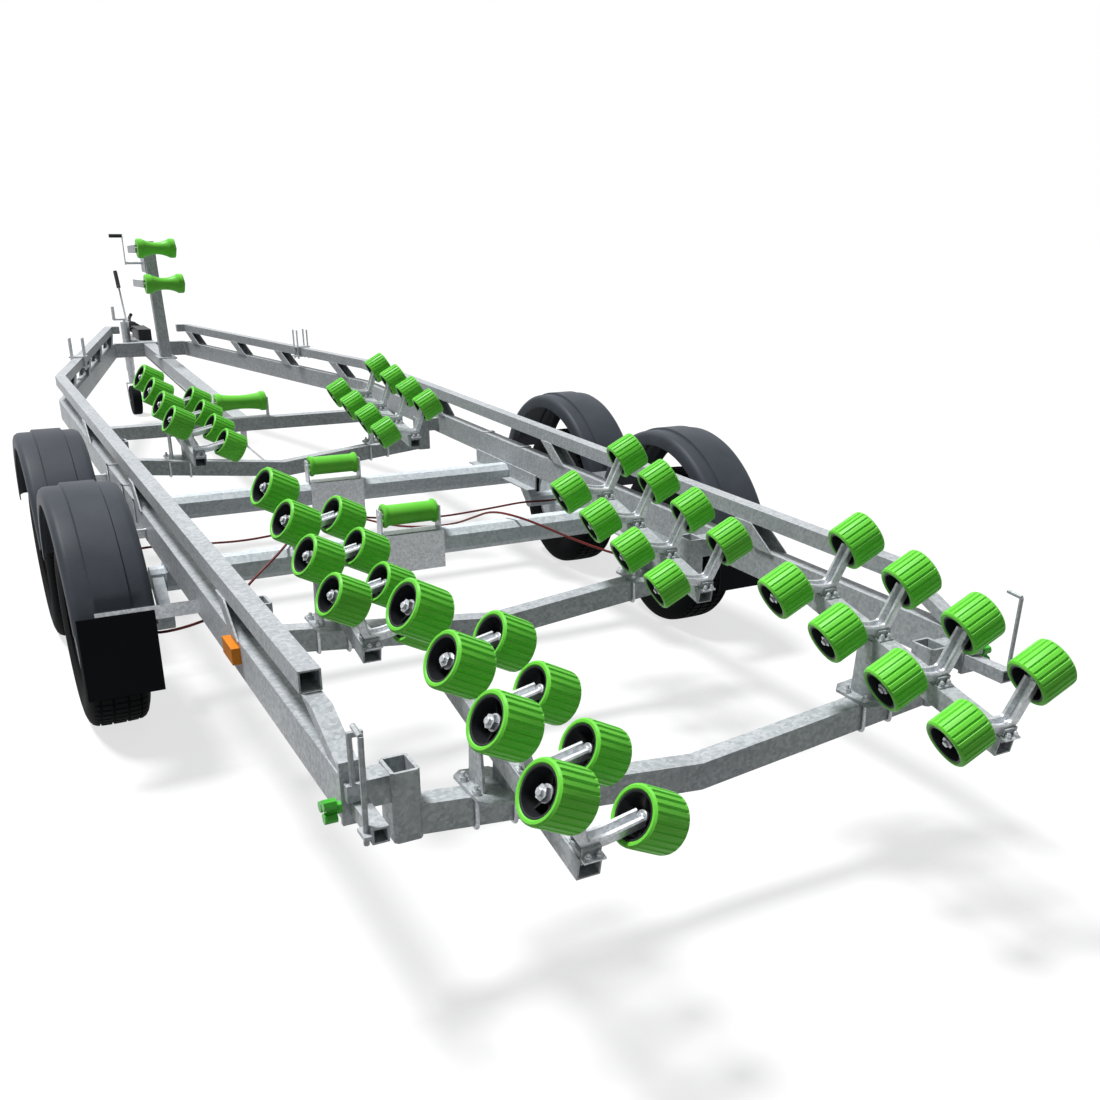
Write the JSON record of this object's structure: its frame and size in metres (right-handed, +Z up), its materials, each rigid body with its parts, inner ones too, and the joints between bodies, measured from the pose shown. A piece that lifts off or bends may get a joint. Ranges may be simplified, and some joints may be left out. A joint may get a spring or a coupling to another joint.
{
  "type": "boat trailer",
  "caption": "Twin axle galvanised boat trailer with ribbed roller sets, keel rollers, winch post, overrun coupling and jockey wheel.",
  "frame": {"origin": "on the ground under the middle of the trailer", "axes": "+Y towards the coupling, +X to the right, +Z up"},
  "size_m": [2.403, 8.9336, 1.34],
  "materials": {
    "amber_lamp": "amber lens",
    "black_plastic": "charcoal moulded plastic, satin",
    "black_rubber": "black rubber",
    "bright_zinc": "bright zinc plated steel",
    "cable_red": "dark red brake cable sleeve",
    "galvanised": "hot dip galvanised steel with a mottled spangle",
    "green_knob": "green moulded plastic",
    "green_roller": "vivid green polyurethane, slightly satin",
    "tyre_rubber": "black tyre rubber",
    "wheel_steel": "silver grey painted steel wheel and drum"
  },
  "bodies": {
    "frame": {"axle_carriers": "galvanised", "brake_cables": "cable_red", "brake_rod": "bright_zinc", "centre_beam": "galvanised", "clamp_knobs": "green_knob", "coupling_gaiter": "black_rubber", "coupling_head": "galvanised", "drawbar": "galvanised", "front_axle": "galvanised", "front_bunks": "galvanised", "front_rollers": "green_roller", "front_v_beam": "galvanised", "jockey_outer_tube": "bright_zinc", "keel_roller_brackets": "bright_zinc", "left_mudguards": "black_plastic", "lower_rails": "galvanised", "middle_bunks": "galvanised", "middle_rollers": "green_roller", "middle_v_beam": "galvanised", "mudflaps": "black_rubber", "mudguard_straps": "bright_zinc", "nose_cross_member": "galvanised", "overrun_unit": "black_plastic", "rail_clamps": "bright_zinc", "rail_posts": "galvanised", "rear_axle": "galvanised", "rear_bunks": "galvanised", "rear_end_fittings": "galvanised", "rear_rollers": "green_roller", "rear_v_beam": "galvanised", "right_mudguards": "black_plastic", "roller_arms": "bright_zinc", "roller_hubs": "black_plastic", "side_lamps": "amber_lamp", "straight_cross_member": "galvanised", "upper_rails": "galvanised", "winch_post": "galvanised"},
    "front_left_wheel": {"front_left_tyre": "tyre_rubber", "front_left_wheel": "wheel_steel"},
    "front_right_wheel": {"front_right_tyre": "tyre_rubber", "front_right_wheel": "wheel_steel"},
    "rear_left_wheel": {"rear_left_tyre": "tyre_rubber", "rear_left_wheel": "wheel_steel"},
    "rear_right_wheel": {"rear_right_tyre": "tyre_rubber", "rear_right_wheel": "wheel_steel"},
    "front_keel_roller": {"front_keel_roller": "green_roller"},
    "middle_keel_roller": {"middle_keel_roller": "green_roller"},
    "rear_keel_roller": {"rear_keel_roller": "green_roller"},
    "upper_bow_roller": {"upper_bow_roller": "green_roller"},
    "lower_bow_roller": {"lower_bow_roller": "green_roller"},
    "winch_drum": {"winch_drum": "bright_zinc"},
    "handbrake_lever": {"handbrake_lever": "bright_zinc"},
    "jockey_inner_tube": {"jockey_inner_tube": "bright_zinc"},
    "jockey_fork": {"jockey_fork": "bright_zinc"},
    "jockey_wheel": {"jockey_wheel": "black_rubber"},
    "jockey_crank": {"jockey_crank": "bright_zinc"}
  },
  "joints": [
    {"name": "front_left_wheel_spin", "type": "hinge", "parent": "frame", "child": "front_left_wheel", "pos_m": [-1.089, -1.17524, 0.31], "axis": [1, 0, 0], "continuous": true},
    {"name": "front_right_wheel_spin", "type": "hinge", "parent": "frame", "child": "front_right_wheel", "pos_m": [1.089, -1.17524, 0.31], "axis": [1, 0, 0], "continuous": true},
    {"name": "rear_left_wheel_spin", "type": "hinge", "parent": "frame", "child": "rear_left_wheel", "pos_m": [-1.089, -2.11324, 0.31], "axis": [1, 0, 0], "continuous": true},
    {"name": "rear_right_wheel_spin", "type": "hinge", "parent": "frame", "child": "rear_right_wheel", "pos_m": [1.089, -2.11324, 0.31], "axis": [1, 0, 0], "continuous": true},
    {"name": "front_keel_roller_spin", "type": "hinge", "parent": "frame", "child": "front_keel_roller", "pos_m": [0, 0.63676, 0.552], "axis": [1, 0, 0], "continuous": true},
    {"name": "middle_keel_roller_spin", "type": "hinge", "parent": "frame", "child": "middle_keel_roller", "pos_m": [0, -1.05524, 0.536], "axis": [1, 0, 0], "continuous": true},
    {"name": "rear_keel_roller_spin", "type": "hinge", "parent": "frame", "child": "rear_keel_roller", "pos_m": [0, -1.99324, 0.536], "axis": [1, 0, 0], "continuous": true},
    {"name": "upper_bow_roller_spin", "type": "hinge", "parent": "frame", "child": "upper_bow_roller", "pos_m": [0, 2.72676, 1.262], "axis": [1, 0, 0], "continuous": true},
    {"name": "lower_bow_roller_spin", "type": "hinge", "parent": "frame", "child": "lower_bow_roller", "pos_m": [0, 2.56676, 1.046], "axis": [1, 0, 0], "continuous": true},
    {"name": "winch_drum_spin", "type": "hinge", "parent": "frame", "child": "winch_drum", "pos_m": [0, 3.11639, 1.15], "axis": [1, 0, 0], "continuous": true},
    {"name": "handbrake_lift", "type": "hinge", "parent": "frame", "child": "handbrake_lever", "pos_m": [-0.075, 3.96276, 0.63], "axis": [1, 0, 0], "range_deg": [-50, 15]},
    {"name": "jockey_slide", "type": "slide", "parent": "frame", "child": "jockey_inner_tube", "axis": [0, 0, 1], "range_m": [-0.05, 0.08]},
    {"name": "jockey_swivel", "type": "hinge", "parent": "jockey_inner_tube", "child": "jockey_fork", "pos_m": [-0.112, 3.83676, 0.24], "axis": [0, 0, 1], "continuous": true},
    {"name": "jockey_wheel_spin", "type": "hinge", "parent": "jockey_fork", "child": "jockey_wheel", "pos_m": [-0.112, 3.79176, 0.11], "axis": [1, 0, 0], "continuous": true},
    {"name": "jockey_crank_turn", "type": "hinge", "parent": "frame", "child": "jockey_crank", "pos_m": [-0.112, 3.83676, 0.69], "axis": [0, 0, 1], "continuous": true}
  ]
}
